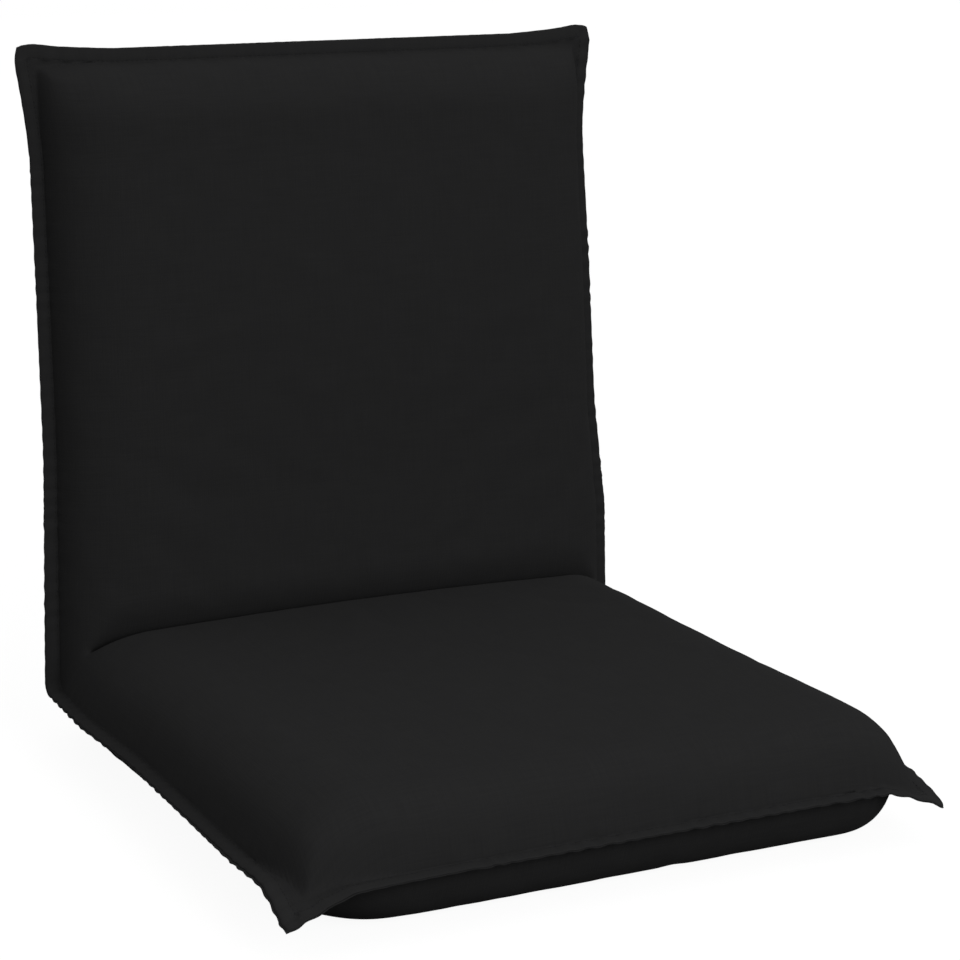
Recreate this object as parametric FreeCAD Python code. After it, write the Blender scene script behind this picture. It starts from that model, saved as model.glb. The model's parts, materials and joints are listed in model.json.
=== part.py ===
import FreeCAD, Part
import math
import os

# Folding floor chair: two foam pads in one long fabric sleeve, over a steel frame that folds
# at two ratchet hinges. All sizes are in millimetres and degrees.
# X runs across the chair, the sitter faces -Y, and Z is up from the floor.
# The origin is on the floor, under the middle of the chair's bounding box.
# Left and right are the sitter's own, so left is on the +X side.
#
# Each half of the chair is drawn flat in its own frame: x across, s away from the hinge axis,
# and h away from the seam plane, towards the sitter. seat() and back() put it in place.

V = FreeCAD.Vector

# Overall sizes
pad_width = 506.0        # across, from side seam to side seam
flange = 12.0            # sewn edge that stands out all round, past the seam
seat_depth = 530.0       # hinge axis to the front of the flange
back_height = 530.0      # hinge axis to the top of the flange
under_height = 45.0      # seam plane to the floor, and to the rear face of the back
seat_rise = 55.0         # seam plane to the seat's top
back_rise = 47.0         # seam plane to the back's front
rest_angle = 93.0        # between seat and back as the chair stands

# Soft parts
crown = 4.0              # how much a pad's middle stands above its shoulders
end_round = 60.0         # length over which a pad falls to the seam at its far end
end_steps = 5            # slices in that length
corner_in = 22.0         # how far a pad's plan is rounded in at its far corners
draw_in = 4.0            # how far the side seams are pulled in at mid length
lip = 3.0                # height of the pad's far edge at the seam
ear_out = 9.0            # how far the sleeve's corners stand out past the flange
ear_run = 85.0           # length of edge over which a corner flares out
ear_round = 7.0          # rounding of a corner's tip
fabric = 1.2             # thickness of the sleeve
soft_gap = 0.3           # between the sleeve and the foam, and between foam and steel
fold_gap = 0.6           # between the two pads in the fold
flat_cut = 0.5           # how deep the rear panels are cut flat, where they lie on a floor

# Frame
tube_d = 19.0
tube_wall = 1.2
rail_d = 16.0
rail_wall = 1.0
weld_gap = 0.05          # between the end of a rail and the tube it is welded to
side_inset = 38.0        # side seam to the centre of a side tube
frame_inset = 50.0       # far seam to the centre of the hoop's cross tube
hoop_bend = 60.0         # bend radius of the hoop, to its centre line
rail_at = 136.0          # hinge axis to the cross rail

# Elastic webbing
strap_width = 50.0
strap_thick = 1.5
strap_slack = 0.2        # between a strap and the tube it goes round
strap_count = 3
first_strap = 182.0      # hinge axis to the middle of the first strap
last_strap_inset = 88.0  # hoop's cross tube to the middle of the last strap

# Ratchet hinge
recline_steps = 12       # locking positions from rest to flat
fold_steps = 9           # positions from rest to folded
arm_reach = 76.0         # hinge axis to the end of each frame tube
tang = 40.0              # length of arm that goes into a tube
plate_thick = 2.0
plate_r = 28.0           # round head of a housing plate
tang_play = 0.15         # between a tang's edges and the bore of its tube
gear_thick = 4.0
side_gap = 0.2           # between the gear and a housing plate
tip_r = 20.0             # over the ratchet teeth
tooth_depth = 2.4
root_half = 0.2          # half the width of a notch at its root
notch_half = 0.95        # half the width of a notch at the tips
pivot_r = 4.0
pivot_head_r = 8.0
pivot_head = 1.8
rivet_r = 2.4            # rivets through a tube and its tang
rivet_head_r = 4.5
rivet_head = 1.4
rivet_play = 0.05
hinge_space = 36.0       # round space that the soft parts leave about the hinge axis

# Pawl, in the seat's (s, h) plane
pin_s = 31.0
pin_h = -4.0
pin_r = 2.5
pin_head_r = 3.6
pin_head = 0.8
boss_r = 5.0
plate_boss_r = 6.5
nose_angle = -50.0       # direction from the hinge axis to the engaged nose
pawl_swing = 9.0         # from engaged to released
pawl_depth = 5.6         # of its lever
pawl_clear = 0.9         # between the engaged lever and the tips
nose_play = 0.25         # between the engaged nose and the root
nose_tip_half = 0.1
nose_base_half = 0.6     # where it passes the tips
spring_thick = 0.5
spring_side = 0.4        # between the leaf spring and a housing plate
spring_foot = 16.0       # tube end to the foot of the spring
spring_gap = 1.5         # between the spring and the pawl when it is let off

# Zip in the rear panel of the back
zip_inset = 78.0         # far seam to the zip
zip_side_inset = 53.0    # side seam to the zip's end
zip_slot = 8.0
tape_width = 28.0
tape_over = 5.0          # how far the tape goes on past the zip
tape_thick = 0.6
coil_width = 5.0
coil_height = 1.8
stop_length = 4.0
stop_width = 6.0
stop_height = 2.0
slider_length = 12.0
slider_width = 9.0
slider_thick = 1.2
slider_gap = 0.3         # between the slider and the coil
slider_wing = 0.8        # thickness of its sides, which run in the slot
wing_gap = 0.4           # between those sides and the tape
slider_from_end = 10.0   # closed zip: slider's middle to the end of the coil
bail_pin_r = 0.7
bail_play = 0.25
bail_ring = 0.7          # wall of the pull's eye
bail_gap = 0.2           # between the eye and the slider, and the eye and the lugs
lug_thick = 1.2
pull_length = 24.0
pull_width = 4.6
pull_thick = 1.2
pull_hole_r = 1.3

# Worked out from the sizes above
tube_r = tube_d / 2
rail_r = rail_d / 2
seat_end = seat_depth - flange
back_end = back_height - flange
strap_r = tube_r + strap_slack
pocket_h = strap_r + strap_thick + soft_gap
frame_half = pad_width / 2 - side_inset
pocket_half = frame_half + pocket_h
plate_in = gear_thick / 2 + side_gap
plate_out = plate_in + plate_thick
tang_reach = tube_r - tube_wall - tang_play
plate_tang_half = math.sqrt(tang_reach ** 2 - plate_out ** 2)
gear_tang_half = math.sqrt(tang_reach ** 2 - (gear_thick / 2) ** 2)
root_r = tip_r - tooth_depth
zip_at = back_end - zip_inset
zip_length = pad_width - 2 * zip_side_inset
pitch = (180 - rest_angle) / recline_steps
rest_rad = math.radians(rest_angle)
crease_s = (back_rise + seat_rise * math.cos(rest_rad)) / math.sin(rest_rad)
seat_crease = math.degrees(math.atan2(seat_rise, crease_s))
back_crease = rest_angle - seat_crease
big = 2 * (seat_depth + back_height)
origin = V(0, 0, 0)
across = V(1, 0, 0)


# Simple shapes in the flat frame

def block(x_low, x_high, s_low, s_high, h_low, h_high):
    return Part.makeBox(x_high - x_low, s_high - s_low, h_high - h_low, V(x_low, s_low, h_low))


def slab(half_x, s, half_s, h_low, h_high):
    return block(-half_x, half_x, s - half_s, s + half_s, h_low, h_high)


def rod(radius, x_low, x_high, s=0.0, h=0.0):
    return Part.makeCylinder(radius, x_high - x_low, V(x_low, s, h), across)


def prism(points, x_low, x_high):
    """Extrudes a closed outline, drawn in (s, h), across the chair."""
    corners = [V(x_low, s, h) for s, h in points]
    outline = Part.makePolygon(corners + corners[:1])
    return Part.Face(outline).extrude(V(x_high - x_low, 0, 0))


def polar(radius, degrees):
    """A point in (s, h)."""
    return radius * math.cos(math.radians(degrees)), radius * math.sin(math.radians(degrees))


def turned(shape, degrees, s=0.0, h=0.0):
    """Turns a shape about an axis across the chair, from +s towards +h."""
    copy = shape.copy()
    copy.rotate(V(0, s, h), across, degrees)
    return copy


def rear(shape):
    """The same shape on the other side of the seam plane."""
    return shape.mirror(origin, V(0, 0, 1))


# Foam pads and the sleeve over them

def slice_wire(s, half_width, round_width, height, middle):
    """One slice across half a pad: three arcs over it and a line along the seam plane."""
    flat = half_width - round_width
    bulge = math.sqrt(0.5)
    left = V(-half_width, s, 0)
    left_top = V(-flat, s, height)
    right_top = V(flat, s, height)
    right = V(half_width, s, 0)
    left_bulge = V(-flat - round_width * bulge, s, height * bulge)
    right_bulge = V(flat + round_width * bulge, s, height * bulge)
    if middle > height:
        top = Part.Arc(left_top, V(0, s, middle), right_top).toShape()
    else:
        top = Part.makeLine(left_top, right_top)
    return Part.Wire([
        Part.Arc(left, left_bulge, left_top).toShape(),
        top,
        Part.Arc(right_top, right_bulge, right).toShape(),
        Part.makeLine(right, left),
    ])


def pad_slice(s, end, rise, crown_height, inset, lean=0.0):
    """A slice at s, its sides quarter rounds. Lean goes from 0 to 90 degrees at the far end."""
    fall = math.cos(math.radians(lean))
    top = rise - crown_height - inset
    low = lip - inset
    height = low + (top - low) * fall
    drawn = draw_in * math.sin(math.pi * min(s / end, 1.0))
    half_width = pad_width / 2 - inset - drawn - corner_in * (1 - fall)
    return slice_wire(s, half_width, top, height, height * (1 + crown_height / top))


def half_pad(end, rise, crown_height, inset=0.0):
    """A pad on one side of its seam plane, smaller all round by inset."""
    straight = end - end_round
    slices = [pad_slice(straight * part / 4, end, rise, crown_height, inset) for part in range(5)]
    for step in range(1, end_steps + 1):
        lean = 90 * step / end_steps
        s = straight + (end_round - inset) * math.sin(math.radians(lean))
        slices.append(pad_slice(s, end, rise, crown_height, inset, lean))
    return Part.makeLoft(slices, True, True)


def flange_plate(length):
    """The sewn edge: a flat sheet with drawn-in sides and an ear at each far corner."""
    wide = pad_width / 2 + flange
    ear_x = wide + ear_out
    ear_s = length + ear_out
    turn = ear_round * (1 - math.sqrt(0.5))
    side_foot = V(wide - draw_in / 2, length - ear_run, 0)
    side_tip = V(ear_x, ear_s - ear_round, 0)
    end_tip = V(ear_x - ear_round, ear_s, 0)
    end_foot = V(wide - ear_run, length - draw_in / 2, 0)
    side_bow = V(side_foot.x + (side_tip.x - side_foot.x) / 4, (side_foot.y + side_tip.y) / 2, 0)
    end_bow = V((end_foot.x + end_tip.x) / 2, end_foot.y + (end_tip.y - end_foot.y) / 4, 0)
    right = [
        Part.Arc(V(wide, 0, 0), V(wide - draw_in, length / 2, 0), side_foot).toShape(),
        Part.Arc(side_foot, side_bow, side_tip).toShape(),
        Part.Arc(side_tip, V(ear_x - turn, ear_s - turn, 0), end_tip).toShape(),
        Part.Arc(end_tip, end_bow, end_foot).toShape(),
    ]
    left = [edge.mirror(origin, across) for edge in right]
    far = Part.Arc(end_foot, V(0, length - draw_in, 0), V(-end_foot.x, end_foot.y, 0)).toShape()
    near = Part.makeLine(V(-wide, 0, 0), V(wide, 0, 0))
    outline = Part.Wire(Part.__sortEdges__(right + left + [far, near]))
    return Part.Face(outline).extrude(V(0, 0, fabric))


def past_crease(angle, gap):
    """All that lies beyond the plane in which the two pads meet, and a gap before it."""
    return turned(block(-big, big, -big, big, -gap, big), angle)


def past_hinge(gap):
    return block(-big, big, -big, gap, -big, big)


def hinge_room():
    return rod(hinge_space, -pocket_half, pocket_half)


def front_cover(end, rise, angle):
    """Front panel: it goes over the pad, and down into the crease as far as the hinges."""
    outer = half_pad(end, rise, crown).fuse(flange_plate(end + flange))
    inner = half_pad(end, rise, crown, fabric).cut(past_crease(angle, fold_gap / 2 + fabric))
    return outer.cut([inner, past_crease(angle, fold_gap / 2), hinge_room()])


def rear_cover(end):
    """Rear panel, cut flat, so that it lies on the floor."""
    below_floor = block(-big, big, -big, big, under_height, big)
    outer = half_pad(end, under_height + flat_cut, 0.0).cut(below_floor).fuse(flange_plate(end + flange))
    return rear(outer.cut([half_pad(end, under_height, 0.0, fabric), past_hinge(soft_gap)]))


def foam(end, rise, crown_height):
    """A foam block with a pocket for the frame, not yet cut at the hinge."""
    frame_reach = end - frame_inset + tube_r + soft_gap
    pocket = block(-pocket_half, pocket_half, -big, frame_reach, -big, pocket_h)
    return half_pad(end, rise, crown_height, fabric + soft_gap).cut([pocket, hinge_room()])


def front_foam(end, rise, angle):
    return foam(end, rise, crown).cut(past_crease(angle, fold_gap / 2 + fabric + soft_gap))


def rear_foam(end):
    return rear(foam(end, under_height, 0.0).cut(past_hinge(soft_gap)))


def hinge_cover():
    """The rear panel where it turns round the hinge, as it lies at rest."""
    turn = 180 - rest_angle
    outer = Part.Face(pad_slice(0, seat_end, under_height, 0.0, 0.0))
    inner = Part.Face(pad_slice(0, seat_end, under_height, 0.0, fabric))
    shell = outer.revolve(origin, across, turn)
    for side in (-1, 1):
        edge = pad_width / 2 - fabric / 2
        low, high = sorted((side * edge, side * (edge + flange + fabric / 2)))
        strip = Part.Face(Part.makePolygon([
            V(low, 0, 0), V(high, 0, 0), V(high, 0, fabric), V(low, 0, fabric), V(low, 0, 0)]))
        shell = shell.fuse(strip.revolve(origin, across, turn))
    return turned(shell.cut(inner.revolve(origin, across, turn)), 180)


# Steel frames and their straps

def tube_along(path, radius):
    start = path.Vertexes[0].Point
    circle = Part.Wire(Part.makeCircle(radius, start, V(0, 1, 0)))
    return path.makePipeShell([circle], True, False)


def hoop(end):
    """U-shaped tube, open towards the hinge, with rivet holes at its ends."""
    far = end - frame_inset
    near_bend = far - hoop_bend
    inside = frame_half - hoop_bend
    turn = hoop_bend * math.sqrt(0.5)
    path = Part.Wire([
        Part.makeLine(V(-frame_half, arm_reach, 0), V(-frame_half, near_bend, 0)),
        Part.Arc(V(-frame_half, near_bend, 0), V(-inside - turn, near_bend + turn, 0),
                 V(-inside, far, 0)).toShape(),
        Part.makeLine(V(-inside, far, 0), V(inside, far, 0)),
        Part.Arc(V(inside, far, 0), V(inside + turn, near_bend + turn, 0),
                 V(frame_half, near_bend, 0)).toShape(),
        Part.makeLine(V(frame_half, near_bend, 0), V(frame_half, arm_reach, 0)),
    ])
    tube = tube_along(path, tube_r).cut(tube_along(path, tube_r - tube_wall))
    holes = [rod(rivet_r + rivet_play, -pocket_half, pocket_half, s) for s in rivet_places()]
    return tube.cut(holes)


def rail():
    """Cross tube, its ends shaped to the side tubes."""
    tube = rod(rail_r, -frame_half, frame_half, rail_at)
    bore = rod(rail_r - rail_wall, -frame_half, frame_half, rail_at)
    side_tubes = [
        Part.makeCylinder(tube_r + weld_gap, 4 * rail_r, V(side * frame_half, rail_at - 2 * rail_r, 0),
                          V(0, 1, 0))
        for side in (-1, 1)
    ]
    return tube.cut([bore] + side_tubes)


def racetrack(radius, s):
    """A face in a slice across the frame: round both side tubes at once."""
    return Part.Face(Part.Wire([
        Part.makeLine(V(-frame_half, s, radius), V(frame_half, s, radius)),
        Part.Arc(V(frame_half, s, radius), V(frame_half + radius, s, 0),
                 V(frame_half, s, -radius)).toShape(),
        Part.makeLine(V(frame_half, s, -radius), V(-frame_half, s, -radius)),
        Part.Arc(V(-frame_half, s, -radius), V(-frame_half - radius, s, 0),
                 V(-frame_half, s, radius)).toShape(),
    ]))


def strap(end, number):
    last_strap = end - frame_inset - last_strap_inset
    middle = first_strap + (last_strap - first_strap) * number / (strap_count - 1)
    start = middle - strap_width / 2
    loop = racetrack(strap_r + strap_thick, start).cut(racetrack(strap_r, start))
    return loop.Faces[0].extrude(V(0, strap_width, 0))


# Ratchet hinges, drawn about the middle plane of one side tube

def rivet_places():
    return [arm_reach + tang * share for share in (0.25, 0.75)]


def housing_plate(low, high):
    """On the seat's side: round head, boss for the pawl's pin, and tang."""
    plate = rod(plate_r, low, high)
    plate = plate.fuse([
        rod(plate_boss_r, low, high, pin_s, pin_h),
        block(low, high, 0, arm_reach + tang, -plate_tang_half, plate_tang_half),
    ])
    holes = [rod(rivet_r + rivet_play, low, high, s) for s in rivet_places()]
    holes.append(rod(pivot_r + rivet_play, low, high))
    holes.append(rod(pin_r + rivet_play, low, high, pin_s, pin_h))
    return plate.cut(holes)


def notch(degrees):
    outline = [(root_r, -root_half), (tip_r, -notch_half), (tip_r + 1, -notch_half),
               (tip_r + 1, notch_half), (tip_r, notch_half), (root_r, root_half)]
    return turned(prism(outline, -gear_thick, gear_thick), degrees)


def gear_arm():
    """On the back's side: a toothed head and the tang in the back's tube."""
    half = gear_thick / 2
    arm = rod(tip_r, -half, half)
    arm = arm.fuse(block(-half, half, 0, arm_reach + tang, -gear_tang_half, gear_tang_half))
    first = rest_angle - nose_angle
    cuts = [notch(first + pitch * step) for step in range(-fold_steps, recline_steps + 1)]
    cuts += [rod(rivet_r + rivet_play, -half, half, s) for s in rivet_places()]
    cuts.append(rod(pivot_r + rivet_play, -half, half))
    return arm.cut(cuts)


def pivot():
    shaft = rod(pivot_r, -plate_out - pivot_head, plate_out + pivot_head)
    return shaft.fuse([
        rod(pivot_head_r, -plate_out - pivot_head, -plate_out),
        rod(pivot_head_r, plate_out, plate_out + pivot_head),
    ])


def lever_line():
    """The engaged pawl's lever: distance of its end from the hinge axis, length and direction."""
    lever_r = tip_r + pawl_clear + pawl_depth / 2
    end_s, end_h = polar(lever_r, nose_angle)
    length = math.hypot(end_s - pin_s, end_h - pin_h)
    return lever_r, length, math.degrees(math.atan2(end_h - pin_h, end_s - pin_s))


def pawl():
    """Lever with its eye on the pin and its nose in a notch, let off by its swing."""
    half = gear_thick / 2
    lever_r, length, direction = lever_line()
    end_s, end_h = polar(lever_r, nose_angle)
    lever = block(-half, half, 0, length, -pawl_depth / 2, pawl_depth / 2)
    lever = turned(lever, direction)
    lever.translate(V(0, pin_s, pin_h))
    spread = (nose_base_half - nose_tip_half) / (tip_r - root_r - nose_play)
    base_half = nose_base_half + spread * (lever_r - tip_r)
    nose = prism([(root_r + nose_play, -nose_tip_half), (lever_r, -base_half), (lever_r, base_half),
                  (root_r + nose_play, nose_tip_half)], -half, half)
    body = lever.fuse([
        turned(nose, nose_angle),
        rod(pawl_depth / 2, -half, half, end_s, end_h),
        rod(boss_r, -half, half, pin_s, pin_h),
    ])
    body = body.cut(rod(pin_r + rivet_play, -half, half, pin_s, pin_h))
    return turned(body, pawl_swing, pin_s, pin_h)


def pawl_pin():
    end = plate_out + pin_head
    return rod(pin_r, -end, end, pin_s, pin_h).fuse([
        rod(pin_head_r, -end, -plate_out, pin_s, pin_h),
        rod(pin_head_r, plate_out, end, pin_s, pin_h),
    ])


def leaf(start, end):
    """One straight leg of the spring, with round ends."""
    half = spring_thick / 2
    wide = plate_in - spring_side
    length = math.hypot(end[0] - start[0], end[1] - start[1])
    direction = math.degrees(math.atan2(end[1] - start[1], end[0] - start[0]))
    leg = turned(block(-wide, wide, 0, length, -half, half), direction)
    leg.translate(V(0, start[0], start[1]))
    return leg.fuse([rod(half, -wide, wide, start[0], start[1]), rod(half, -wide, wide, end[0], end[1])])


def pawl_spring():
    """Bent leaf behind the pawl: foot by the tube, bend at the pawl's eye, end at its nose."""
    _, length, direction = lever_line()
    released = direction + pawl_swing
    along_s, along_h = polar(length, released)
    bend_s, bend_h = polar(boss_r + spring_gap, released + 90)
    free_s, free_h = polar(pawl_depth / 2 + spring_gap, released + 90)
    foot = (arm_reach - spring_foot, pin_h)
    bend = (pin_s + bend_s, pin_h + bend_h)
    free = (pin_s + along_s + free_s, pin_h + along_h + free_h)
    return leaf(foot, bend).fuse(leaf(bend, free))


def tube_rivets():
    """Two rivets across a tube, with heads that sit on its round wall."""
    end = tube_r + rivet_head
    rivets = []
    for s in rivet_places():
        heads = rod(rivet_head_r, -end, end, s)
        wall = Part.makeCylinder(tube_r + rivet_play, 2 * tang, V(0, arm_reach - tang / 2, 0), V(0, 1, 0))
        rivets.append(heads.cut(wall).fuse(rod(rivet_r, -end, end, s)))
    return Part.makeCompound(rivets)


# Zip

rear_face = -under_height
tape_face = rear_face + fabric
coil_face = tape_face - coil_height
plate_face = coil_face - slider_gap
slider_face = plate_face - slider_thick
eye_r = bail_pin_r + bail_play + bail_ring
pin_face = slider_face - bail_gap - eye_r
closed_x = zip_length / 2 - slider_from_end


def zip_tape():
    return slab(zip_length / 2 + tape_over, zip_at, tape_width / 2, tape_face, tape_face + tape_thick)


def zip_coil():
    return slab(zip_length / 2, zip_at, coil_width / 2, coil_face, tape_face)


def zip_stops():
    stops = [
        block(low, low + stop_length, zip_at - stop_width / 2, zip_at + stop_width / 2,
              tape_face - stop_height, tape_face)
        for low in (-zip_length / 2 - stop_length, zip_length / 2)
    ]
    return Part.makeCompound(stops)


def zip_slider():
    """Plate over the coil, two sides down beside it, and two lugs that hold the pull's pin."""
    wing = coil_width / 2 + slider_gap
    lug = pull_width / 2 + bail_gap
    body = slab(slider_length / 2, zip_at, slider_width / 2, slider_face, plate_face)
    extras = []
    for side in (-1, 1):
        low, high = sorted((side * wing, side * (wing + slider_wing)))
        extras.append(block(-slider_length / 2, slider_length / 2, zip_at + low, zip_at + high,
                            plate_face, tape_face - wing_gap))
        low, high = sorted((side * lug, side * (lug + lug_thick)))
        extras.append(block(-eye_r, eye_r, zip_at + low, zip_at + high,
                            pin_face - eye_r, slider_face))
    pin_start = V(0, zip_at - lug - lug_thick / 2, pin_face)
    extras.append(Part.makeCylinder(bail_pin_r, 2 * lug + lug_thick, pin_start, V(0, 1, 0)))
    slider = body.fuse(extras)
    slider.translate(V(closed_x, 0, 0))
    return slider


def zip_pull():
    start = zip_at - pull_width / 2
    eye = Part.makeCylinder(eye_r, pull_width, V(0, start, pin_face), V(0, 1, 0))
    bar = block(-pull_length, 0, start, start + pull_width, pin_face - pull_thick / 2,
                pin_face + pull_thick / 2)
    eye_hole = Part.makeCylinder(bail_pin_r + bail_play, pull_width, V(0, start, pin_face), V(0, 1, 0))
    end_hole = Part.makeCylinder(pull_hole_r, 2 * pull_thick,
                                 V(-pull_length + 2 * pull_hole_r, zip_at, pin_face - pull_thick))
    pull = eye.fuse(bar).cut([eye_hole, end_hole])
    pull.translate(V(closed_x, 0, 0))
    return pull


# Putting the halves in place, with the hinge axis over the line y = 0

def seat(shape):
    placed = shape.mirror(origin, V(0, 1, 0))
    placed.translate(V(0, 0, under_height))
    return placed


def back(shape):
    placed = turned(shape, 180 - rest_angle)
    placed.translate(V(0, 0, under_height))
    return placed


def at_side(shape, side):
    """A hinge piece on one side tube, its outer face towards that side."""
    placed = shape if side > 0 else shape.mirror(origin, across)
    placed = placed.copy()
    placed.translate(V(side * frame_half, 0, 0))
    return placed


def soft_pieces():
    slot = slab(zip_length / 2 + stop_length, zip_at, zip_slot / 2, -big, 0)
    recess = slab(zip_length / 2 + tape_over + soft_gap, zip_at, tape_width / 2 + soft_gap,
                  -big, tape_face + tape_thick + soft_gap)
    round_hinge = hinge_cover()
    round_hinge.translate(V(0, 0, under_height))
    return {
        "seat_cover_top": seat(front_cover(seat_end, seat_rise, seat_crease)),
        "seat_cover_bottom": seat(rear_cover(seat_end)),
        "back_cover_front": back(front_cover(back_end, back_rise, back_crease)),
        "back_cover_rear": back(rear_cover(back_end).cut(slot)),
        "hinge_cover": round_hinge,
        "seat_foam_top": seat(front_foam(seat_end, seat_rise, seat_crease)),
        "seat_foam_base": seat(rear_foam(seat_end)),
        "back_foam_front": back(front_foam(back_end, back_rise, back_crease)),
        "back_foam_rear": back(rear_foam(back_end).cut(recess)),
    }


def frame_pieces():
    pieces = {
        "seat_frame_hoop": seat(hoop(seat_end)),
        "seat_frame_rail": seat(rail()),
        "back_frame_hoop": back(hoop(back_end)),
        "back_frame_rail": back(rail()),
    }
    for number in range(strap_count):
        pieces["seat_strap_%d" % (number + 1)] = seat(strap(seat_end, number))
        pieces["back_strap_%d" % (number + 1)] = back(strap(back_end, number))
    return pieces


def hinge_pieces(name, side):
    return {
        name + "_hinge_outer_plate": seat(at_side(housing_plate(plate_in, plate_out), side)),
        name + "_hinge_inner_plate": seat(at_side(housing_plate(-plate_out, -plate_in), side)),
        name + "_hinge_gear_arm": back(at_side(gear_arm(), side)),
        name + "_hinge_pivot": seat(at_side(pivot(), side)),
        name + "_pawl": seat(at_side(pawl(), side)),
        name + "_pawl_pin": seat(at_side(pawl_pin(), side)),
        name + "_pawl_spring": seat(at_side(pawl_spring(), side)),
        name + "_seat_tube_rivets": seat(at_side(tube_rivets(), side)),
        name + "_back_tube_rivets": back(at_side(tube_rivets(), side)),
    }


def zip_pieces():
    return {
        "zip_tape": back(zip_tape()),
        "zip_coil": back(zip_coil()),
        "zip_end_stops": back(zip_stops()),
        "zip_slider": back(zip_slider()),
        "zip_pull": back(zip_pull()),
    }


pieces = {}
pieces.update(soft_pieces())
pieces.update(frame_pieces())
pieces.update(hinge_pieces("left", 1))
pieces.update(hinge_pieces("right", -1))
pieces.update(zip_pieces())

# The seat reaches furthest forward at its ears, and the back furthest to the rear at the zip's
# lugs or at the end of its flat rear face.
recline = math.radians(180 - rest_angle)
front_y = -(seat_depth + ear_out)
lug_s = zip_at + pull_width / 2 + bail_gap + lug_thick
lug_y = lug_s * math.cos(recline) + (eye_r - pin_face) * math.sin(recline)
face_y = (back_end - end_round) * math.cos(recline) + under_height * math.sin(recline)
rear_y = max(lug_y, face_y)
shift = V(0, -(front_y + rear_y) / 2, 0)

os.makedirs("parts", exist_ok=True)
for name, shape in pieces.items():
    shape.translate(shift)
    solids = shape.Solids
    if not shape.isValid() or not solids:
        print("check this piece:", name, shape.isValid(), len(solids))
    whole = solids[0] if len(solids) == 1 else Part.makeCompound(solids)
    whole.exportStep("parts/" + name + ".step")

print("pieces:", len(pieces))
print("hinge axis: y %.4f, z %.4f" % (shift.y, under_height))
pawl_point = seat(Part.Vertex(0, pin_s, pin_h)).Point + shift
print("pawl pins: x %.1f, y %.4f, z %.4f" % (frame_half, pawl_point.y, pawl_point.z))
pull_point = back(Part.Vertex(closed_x, zip_at, pin_face)).Point + shift
print("pull pin: x %.1f, y %.4f, z %.4f" % (closed_x, pull_point.y, pull_point.z))
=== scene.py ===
"""Folding floor chair: two foam pads in one long black sleeve, over a steel frame that folds at
two ratchet hinges. Metres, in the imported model's own frame: X across, the sitter faces -Y, Z up."""

import bpy
import json
import math
import numpy as np
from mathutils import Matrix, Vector


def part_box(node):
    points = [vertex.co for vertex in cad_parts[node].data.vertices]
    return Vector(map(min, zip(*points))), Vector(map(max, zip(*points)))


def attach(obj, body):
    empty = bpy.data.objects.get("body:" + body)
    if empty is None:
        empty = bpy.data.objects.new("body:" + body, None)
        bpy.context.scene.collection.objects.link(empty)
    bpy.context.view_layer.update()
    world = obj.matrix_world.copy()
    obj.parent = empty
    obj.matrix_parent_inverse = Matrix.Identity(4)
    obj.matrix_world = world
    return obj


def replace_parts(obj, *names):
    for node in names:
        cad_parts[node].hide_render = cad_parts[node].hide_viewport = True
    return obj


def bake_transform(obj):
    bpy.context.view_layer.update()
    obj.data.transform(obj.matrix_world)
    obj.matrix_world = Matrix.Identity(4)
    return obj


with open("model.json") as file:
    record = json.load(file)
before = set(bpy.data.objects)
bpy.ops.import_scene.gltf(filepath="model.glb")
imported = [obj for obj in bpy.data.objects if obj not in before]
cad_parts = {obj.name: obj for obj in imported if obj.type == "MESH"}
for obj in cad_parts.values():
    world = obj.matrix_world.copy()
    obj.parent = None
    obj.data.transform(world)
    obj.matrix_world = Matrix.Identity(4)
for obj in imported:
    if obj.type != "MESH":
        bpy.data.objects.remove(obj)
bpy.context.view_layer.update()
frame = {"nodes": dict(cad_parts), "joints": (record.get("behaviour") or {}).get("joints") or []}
nodes = frame["nodes"]
recline = next(j for j in frame["joints"] if j["name"] == "backrest_recline")


# Steel hoops and cross rails. The real ones are bent mild-steel tube, welded and coated in satin
# black powder, which leaves a fine orange-peel skin and rubs thin where the webbing sits.

def plain_material(name, colour, roughness, metallic=0.0, specular=0.5):
    """A new material, its node tree and its shader."""
    made = bpy.data.materials.new(name)
    made.use_nodes = True
    shader = made.node_tree.nodes["Principled BSDF"]
    shader.inputs["Base Color"].default_value = (*colour, 1)
    shader.inputs["Roughness"].default_value = roughness
    shader.inputs["Metallic"].default_value = metallic
    shader.inputs["Specular IOR Level"].default_value = specular
    return made, made.node_tree, shader


def node(tree, kind, links=(), **settings):
    """A new node with its settings; links are (socket name or number, value or output)."""
    made = tree.nodes.new("ShaderNode" + kind)
    for name, value in settings.items():
        setattr(made, name, value)
    for socket, value in links:
        if isinstance(value, bpy.types.NodeSocket):
            tree.links.new(value, made.inputs[socket])
        else:
            made.inputs[socket].default_value = value
    return made


def colour_between(tree, value, low, high, begin=0.0, end=1.0):
    """From one colour to another as the value goes from begin to end."""
    made = node(tree, "ValToRGB", [("Fac", value)])
    for stop, place, colour in zip(made.color_ramp.elements, (begin, end), (low, high)):
        stop.position, stop.color = place, (*colour, 1)
    return made.outputs["Color"]


def ranged(tree, value, begin, end, low, high):
    """From one number to another as the value goes from begin to end."""
    made = node(tree, "MapRange", [("Value", value), ("From Min", begin), ("From Max", end),
                                   ("To Min", low), ("To Max", high)])
    return made.outputs["Result"]


def raised(tree, shader, height, strength, depth):
    """A fine relief in the shader, its depth in metres."""
    bump = node(tree, "Bump", [("Height", height), ("Strength", strength), ("Distance", depth)])
    tree.links.new(bump.outputs["Normal"], shader.inputs["Normal"])


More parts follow.
